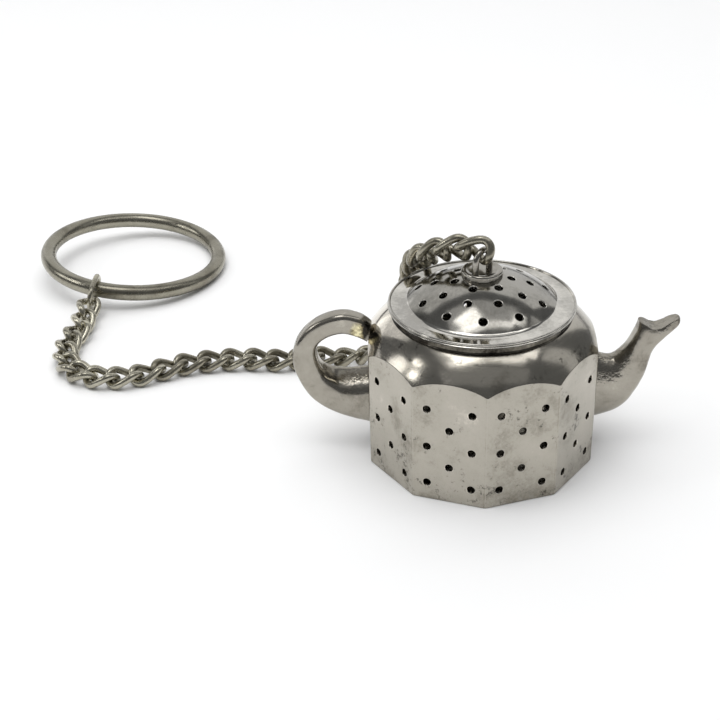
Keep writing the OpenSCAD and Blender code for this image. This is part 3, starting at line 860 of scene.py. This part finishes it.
# Stations: upper rail (x, z), lower rail (x, z), width, corner power and lean
handle_stations = [
    [-FLAT_R + 0.67, WALL_TOP + 3.05, -FLAT_R - 0.28, WALL_TOP - 0.2, 0.57 * HANDLE_W, CORNER, 0],
    [-FLAT_R - 1.4, WALL_TOP + 4.65, -FLAT_R - 1.9, WALL_TOP + 0.75, 0.61 * HANDLE_W, CORNER, 0],
    [-FLAT_R - 5, WALL_TOP + 5.25, -FLAT_R - 4.6, WALL_TOP + 1.4, 0.64 * HANDLE_W, CORNER, 0],
    [-HANDLE_END + 3.5, WALL_TOP + 3.4, -HANDLE_END + 5.6, WALL_TOP + 0.5, 0.68 * HANDLE_W, CORNER, 0],
    [-HANDLE_END + 0.4, WALL_TOP - 0.5, -HANDLE_END + 4.2, WALL_TOP - 1.3, 0.71 * HANDLE_W, CORNER, 0],
    [-HANDLE_END, WALL_TOP - 5.1, -HANDLE_END + 4.4, WALL_TOP - 3.9, 0.77 * HANDLE_W, CORNER, 0],
    [-HANDLE_END + 2.5, HANDLE_LOW + 5.7, -HANDLE_END + 5.8, HANDLE_LOW + 10.2, 0.86 * HANDLE_W, CORNER, 0.25],
    [-FLAT_R - 6.2, HANDLE_LOW + 2.4, -FLAT_R - 4.2, HANDLE_LOW + 9, 0.95 * HANDLE_W, CORNER, 0.5],
    [-FLAT_R, HANDLE_LOW + 0.25, -FLAT_R, HANDLE_LOW + 9.4, HANDLE_W, CORNER, 0.5]]
# The first full ring stands twice, so that the shading breaks round the handle's end
handle_line = smooth(handle_stations, HANDLE_STEPS)[1:]
rings = [section(handle_stations[0], scale) for scale in (0.3, 0.6, 0.85, 0.95)]
rings += [section(station) for station in handle_line[:1] + handle_line]


def handle_wear(p):
    """Dark seam where the root meets the wall."""
    return SEAM_WEAR if p.x > -FLAT_R - 0.2 and p.z < WALL_TOP - 3 else 0.0


piece(casting("handle_casting", rings, 3.0, handle_wear), "cast_metal", "pot", "handle")

spout_stations = [
    [FLAT_R, SPOUT_LOW + 12.7, FLAT_R, SPOUT_LOW - 0.3, SPOUT_W, 1, 0],
    [FLAT_R + 3, SPOUT_LOW + 11.8, FLAT_R + 5.4, SPOUT_LOW + 2.2, 0.91 * SPOUT_W, 0.9, 0],
    [FLAT_R + 5.3, WALL_TOP - 1.9, SPOUT_END - 5.5, SPOUT_LOW + 7.6, 0.76 * SPOUT_W, 0.75, 0],
    [FLAT_R + 6.6, WALL_TOP + 0.5, SPOUT_END - 4.2, WALL_TOP - 2.4, 0.64 * SPOUT_W, 0.6, 0],
    [FLAT_R + 7.15, WALL_TOP + 2.1, SPOUT_END - 2.3, WALL_TOP + 0.2, 0.55 * SPOUT_W, CORNER, 0],
    [FLAT_R + 7.3, MOUTH_Z - 0.6, SPOUT_END - 0.2, MOUTH_Z - 1.5, 0.42 * SPOUT_W, CORNER, 0],
    [FLAT_R + 7.3, MOUTH_Z, SPOUT_END, MOUTH_Z - 0.2, 0.36 * SPOUT_W, CORNER, 0]]
# The mouth's end: scale of the last section, and how far it drops
SPOUT_TIP = ((0.985, 0.1), (0.95, 0.03), (0.88, 0), (0.7, 0), (0.45, 0), (0.2, 0))
# Along the mouth: place along X, and depth below the top of the spout
mouth_line = smooth([[FLAT_R + 5.5, 1.05], [FLAT_R + 7.3, 0.8], [FLAT_R + 8.3, 1.1], [SADDLE_X - 0.3, 1.9],
                     [SADDLE_X + 1.1, 1.5], [SADDLE_X + 2.3, 0.75], [SADDLE_X + 3.3, 0.3],
                     [SPOUT_END, 0.2]], MOUTH_STEPS)


def saddled(p):
    """Cuts the mouth: a hump at the back, the saddle and the rising beak."""
    drop = mouth_line[0][1]
    for (x0, d0), (x1, d1) in zip(mouth_line, mouth_line[1:]):
        if x0 <= p.x:
            drop = d0 + (d1 - d0) * min(1, (p.x - x0) / (x1 - x0))
    return Vector((min(p.x, SPOUT_END - 0.02), p.y, min(p.z, MOUTH_Z - drop)))


def spout_wear(p):
    """Dark seam at the root, dark tip and slightly dark mouth."""
    if p.x < FLAT_R + 0.2 or p.x > SPOUT_END - 0.4:
        return SEAM_WEAR
    return MOUTH_WEAR if p.z > MOUTH_Z - 2.2 else 0.0


# The last four rings make way for the mouth's end
rings = [section(station) for station in smooth(spout_stations, SPOUT_STEPS)[:-4]]
rings += [section(spout_stations[-1], scale, -drop) for scale, drop in SPOUT_TIP]
piece(casting("spout_casting", rings, 11.0, spout_wear, saddled), "cast_metal", "pot", "spout")


# Chain and ring

# The wire's mesh stays a little within the solid's wire
WIRE_FIT = 0.985


def link_line(half_len, half_w, twist):
    """Points along the centre line of a link that lies along X, with the direction square to its face."""
    run = half_len - half_w
    arc = math.pi * half_w
    whole = 4 * run + 2 * arc
    line = []
    faces = []
    for i in range(LINK_STEPS):
        s = (i + 0.5) / LINK_STEPS * whole
        if s < 2 * run:
            x, y = s - run, -half_w
        elif s < 2 * run + arc:
            w = (s - 2 * run) / half_w - math.pi / 2
            x, y = run + half_w * math.cos(w), half_w * math.sin(w)
        elif s < 4 * run + arc:
            x, y = run - (s - 2 * run - arc), half_w
        else:
            w = (s - 4 * run - arc) / half_w + math.pi / 2
            x, y = -run + half_w * math.cos(w), half_w * math.sin(w)
        turn = twist / 2 * x / half_len
        line.append(Vector((x, y * math.cos(turn), y * math.sin(turn))))
        faces.append(Vector((0, -math.sin(turn), math.cos(turn))))
    return line, faces


def link_mesh(name, half_len, half_w, twist, wire, place, node, wear_and_shading):
    skin = Skin()
    line, faces = link_line(half_len, half_w, twist)
    skin.tube(line, faces, WIRE_FIT * wire / 2, LINK_SIDES, wear_and_shading=wear_and_shading)
    return skin.make(name, place, node)


def link_place(start, stop, roll, centre):
    """Matrix that lays a link from start towards stop, its face turned away from what it lies on."""
    t = (stop - start).normalized()
    mid = start + stop
    outward = Vector((mid.x, mid.y, 0)).normalized()
    away = Vector((0, 0, math.sqrt(1 - t.z * t.z))) - outward * t.z
    n = (away - away.dot(t) * t).normalized()
    h = n.cross(t)
    y = h * math.cos(roll) + n * math.sin(roll)
    z = n * math.cos(roll) - h * math.sin(roll)
    return Matrix([[t[i], y[i], z[i], centre[i]] for i in range(3)] + [[0, 0, 0, 1]])


def joint_at(name):
    return Vector(joints[name]["pos_m"]) / MM


bearings = [joint_at(f"link_{i:02d}_swing") for i in range(1, CHAIN_LINKS + 1)] + [joint_at("end_link_swing")]
half_len = (LINK_PITCH + LINK_WIRE + LINK_GAP) / 2
half_w = (LINK_W - LINK_WIRE) / 2
for i in range(CHAIN_LINKS):
    number = f"{i + 1:02d}"
    roll = FIRST_ROLL * max(0, 1 - i / FIRST_FADE) + LAST_ROLL * max(0, 1 - (CHAIN_LINKS - 1 - i) / LAST_FADE)
    a, b = bearings[i], bearings[i + 1]
    place = link_place(a, b, math.radians(roll), (a + b) / 2)
    node = f"chain_link_{number}"
    rub = LAST_WEAR if i > LAST_LINKS else TABLE_WEAR if i > TABLE_LINKS else 0.0
    wire = link_mesh(f"link_wire_{number}", half_len, half_w, LINK_TWIST, LINK_WIRE, place, node, rub)
    piece(wire, "chain_metal", f"link_{number}", node)

ring_hook = joint_at("ring_tip")
half_len = (END_LEN - END_WIRE) / 2
half_w = (END_W - END_WIRE) / 2
end_way = (ring_hook - bearings[-1]).normalized()
end_centre = bearings[-1] + end_way * (half_len - (END_WIRE + LINK_GAP) / 2)
place = link_place(bearings[-1], bearings[-1] + end_way, END_ROLL, end_centre)
wire = link_mesh("end_link_wire", half_len, half_w, 0, END_WIRE, place, "end_link", END_WEAR)
piece(wire, "chain_metal", "end_link", "end_link")

skin = Skin()
skin.tube([Vector((x, y, 0)) for x, y in circle(RING_R, RING_STEPS)], [Vector((0, 0, 1))] * RING_STEPS,
          RING_WIRE / 2, RING_SIDES)
tilt = math.asin((ring_hook.z - RING_WIRE / 2) / (RING_R * (1 - math.cos(RING_AZ))))
place = (Matrix.Translation(ring_hook) @ Matrix.Rotation(tilt, 4, "Y")
         @ Matrix.Translation(Vector((-math.cos(RING_AZ), -math.sin(RING_AZ), 0)) * RING_R))
piece(skin.make("ring_bar", place, "finger_ring"), "ring_metal", "ring", "finger_ring")


# Floor and light

FLOOR_HALF = 2
POT_MIDDLE = (0, 0, 0.03)


def floor_material():
    mat = bpy.data.materials.new("floor_white")
    mat.use_nodes = True
    nodes = mat.node_tree.nodes
    shader = nodes["Principled BSDF"]
    shader.inputs["Roughness"].default_value = 0.7
    cloud = nodes.new("ShaderNodeTexNoise")
    cloud.inputs["Scale"].default_value = 6.0
    ramp = nodes.new("ShaderNodeValToRGB")
    ramp.color_ramp.elements[0].color = (0.90, 0.90, 0.90, 1)
    ramp.color_ramp.elements[1].color = (0.93, 0.93, 0.93, 1)
    mat.node_tree.links.new(cloud.outputs["Fac"], ramp.inputs["Fac"])
    mat.node_tree.links.new(ramp.outputs["Color"], shader.inputs["Base Color"])
    return mat


def lay_floor():
    mesh = bpy.data.meshes.new("floor")
    corners = [(FLOOR_HALF * x, FLOOR_HALF * y, 0) for x, y in ((-1, -1), (1, -1), (1, 1), (-1, 1))]
    mesh.from_pydata(corners, [], [(0, 1, 2, 3)])
    mesh.materials.append(floor_material())
    obj = bpy.data.objects.new("floor", mesh)
    scene.collection.objects.link(obj)


def soft_light(name, spot, aim, size, radiance, on_metal=True):
    """Even rectangular soft box, unseen by the camera. on_metal says whether the metal mirrors it."""
    data = bpy.data.lights.new(name, "AREA")
    data.shape = "RECTANGLE"
    data.size, data.size_y = size
    data.energy = radiance * math.pi * size[0] * size[1]
    obj = bpy.data.objects.new(name, data)
    scene.collection.objects.link(obj)
    obj.location = spot
    obj.rotation_euler = (Vector(aim) - Vector(spot)).to_track_quat("-Z", "Y").to_euler()
    obj.visible_glossy = on_metal
    obj.visible_camera = False


lay_floor()
soft_light("overhead", (-0.13, -0.06, 0.65), POT_MIDDLE, (0.22, 0.24), 2.5)
soft_light("strip", (0.03, -0.15, 0.68), POT_MIDDLE, (0.7, 0.1), 1.2)
soft_light("front", (0.02, -0.38, 0.6), POT_MIDDLE, (0.9, 0.26), 0.16)
soft_light("right", (0.36, 0.02, 0.58), POT_MIDDLE, (0.14, 0.14), 1.7)
soft_light("side", (0.65, 0.08, 0.42), POT_MIDDLE, (0.2, 0.4), 0.5)
soft_light("left_high", (-0.56, -0.06, 0.54), POT_MIDDLE, (0.14, 0.08), 5.0)
soft_light("left_low", (-0.58, -0.14, 0.38), POT_MIDDLE, (0.1, 0.12), 6.0)
soft_light("left_back", (-0.62, 0.06, 0.34), POT_MIDDLE, (0.16, 0.2), 2.4)
soft_light("back_left", (-0.78, 0.66, 0.14), POT_MIDDLE, (0.7, 0.3), 0.55)
soft_light("ceiling", (0.0, 0.0, 0.92), POT_MIDDLE, (1.0, 0.56), 0.42)
soft_light("rear", (0.0, 0.87, 0.56), POT_MIDDLE, (2.0, 1.1), 0.7)
soft_light("table", (-0.1, 0.0, 0.95), (-0.02, 0.03, 0), (1.2, 1.2), 1.65, False)

world = bpy.data.worlds.new("studio")
scene.world = world
world.use_nodes = True
sky = world.node_tree.nodes["Background"].inputs
sky["Color"].default_value = (0.95, 0.97, 1, 1)
sky["Strength"].default_value = 0.16
scene.view_settings.view_transform = "Standard"
